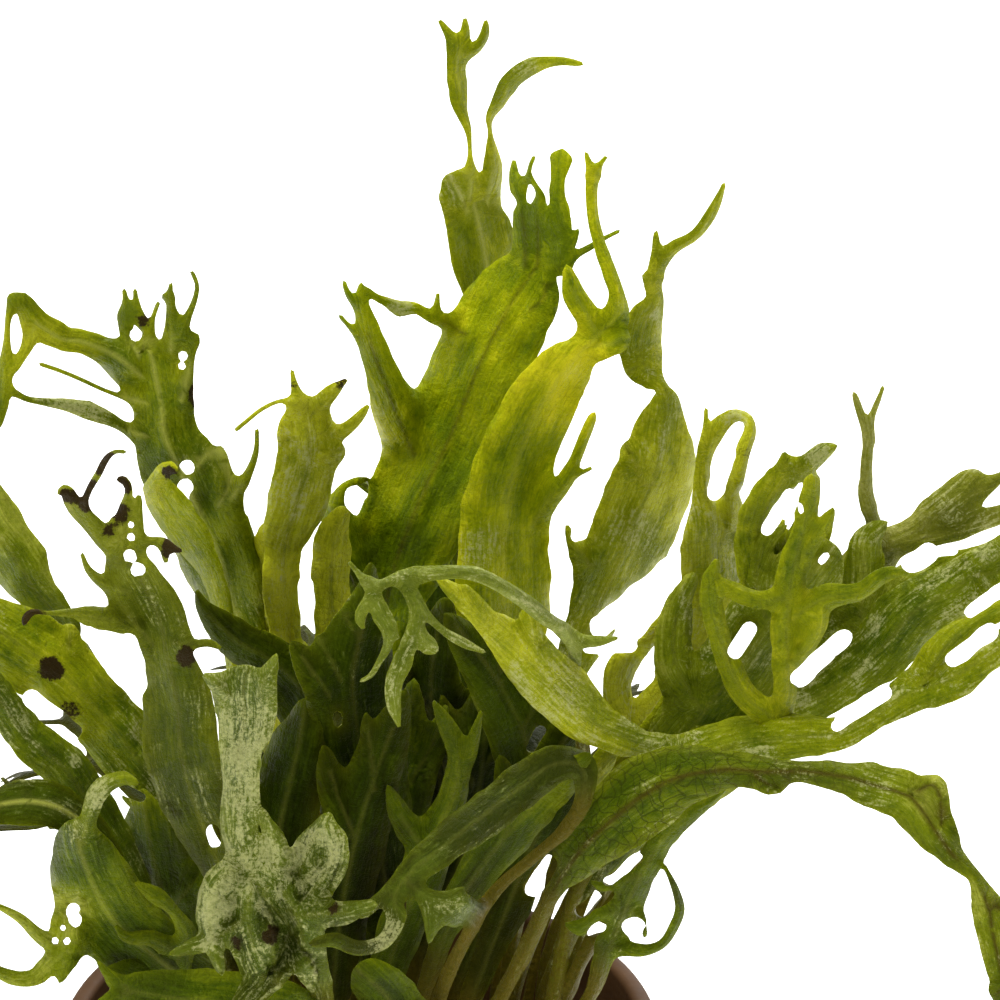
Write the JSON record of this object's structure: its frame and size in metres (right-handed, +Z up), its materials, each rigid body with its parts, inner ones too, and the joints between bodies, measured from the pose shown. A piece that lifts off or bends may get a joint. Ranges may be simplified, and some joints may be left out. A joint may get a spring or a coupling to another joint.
{
  "type": "potted java fern",
  "caption": "Small water fern with ribbon fronds that divide into fine crests at their tips, rising from creeping stems on wool in a tapered plastic pot.",
  "frame": {"origin": "centre of the pot's base, on the surface it stands on", "axes": "+Z up along the pot, -Y towards the side that the picture shows, +X to its right"},
  "size_m": [0.1027, 0.1038, 0.144],
  "materials": {
    "pot": "satin brown moulded plastic",
    "wool": "damp mineral wool",
    "rhizome": "green-brown creeping stem with wiry roots",
    "frond_fresh": "glossy light green blade",
    "frond_bright": "glossy yellow-green young blade",
    "frond_green": "satin mid green blade",
    "frond_bronze": "green blade with bronze curled tips",
    "frond_olive": "olive blade with brown veins and spots",
    "frond_deep": "satin dark green blade",
    "frond_pale": "glossy blade with a whitish sheen"
  },
  "bodies": {
    "root": {"pot": "pot", "wool_plug": "wool", "rhizome_rear": "rhizome", "rhizome_upper": "rhizome", "rhizome_middle": "rhizome", "rhizome_front": "rhizome", "frond_tall": "frond_fresh", "frond_big": "frond_bright", "frond_fan": "frond_bright", "frond_broad": "frond_fresh", "frond_fork": "frond_fresh", "frond_stag": "frond_fresh", "frond_hook": "frond_bright", "frond_far_left": "frond_green", "frond_bronze": "frond_bronze", "frond_spotted": "frond_olive", "frond_low_left": "frond_green", "frond_dark_left": "frond_deep", "frond_strap": "frond_pale", "frond_shade": "frond_deep", "frond_heart": "frond_deep", "frond_mid": "frond_deep", "frond_old": "frond_deep", "frond_lattice": "frond_green", "frond_skirt": "frond_green", "frond_bib": "frond_bright", "frond_curl": "frond_pale", "frond_feather": "frond_pale", "frond_veined": "frond_olive", "frond_holed": "frond_bright", "frond_sweep": "frond_fresh", "frond_reach": "frond_green", "frond_high_right": "frond_olive", "frond_olive": "frond_deep", "frond_arch": "frond_fresh", "frond_inner_left": "frond_deep", "frond_inner_mid": "frond_deep", "frond_inner_right": "frond_deep", "frond_back_1": "frond_deep", "frond_back_2": "frond_deep", "frond_back_3": "frond_deep", "frond_back_4": "frond_deep", "frond_back_5": "frond_deep", "frond_back_6": "frond_deep", "frond_back_7": "frond_deep", "frond_back_8": "frond_deep", "frond_back_9": "frond_deep", "frond_back_10": "frond_deep", "frond_back_11": "frond_deep", "frond_back_12": "frond_deep", "frond_back_13": "frond_deep", "frond_back_14": "frond_deep"}
  },
  "joints": []
}
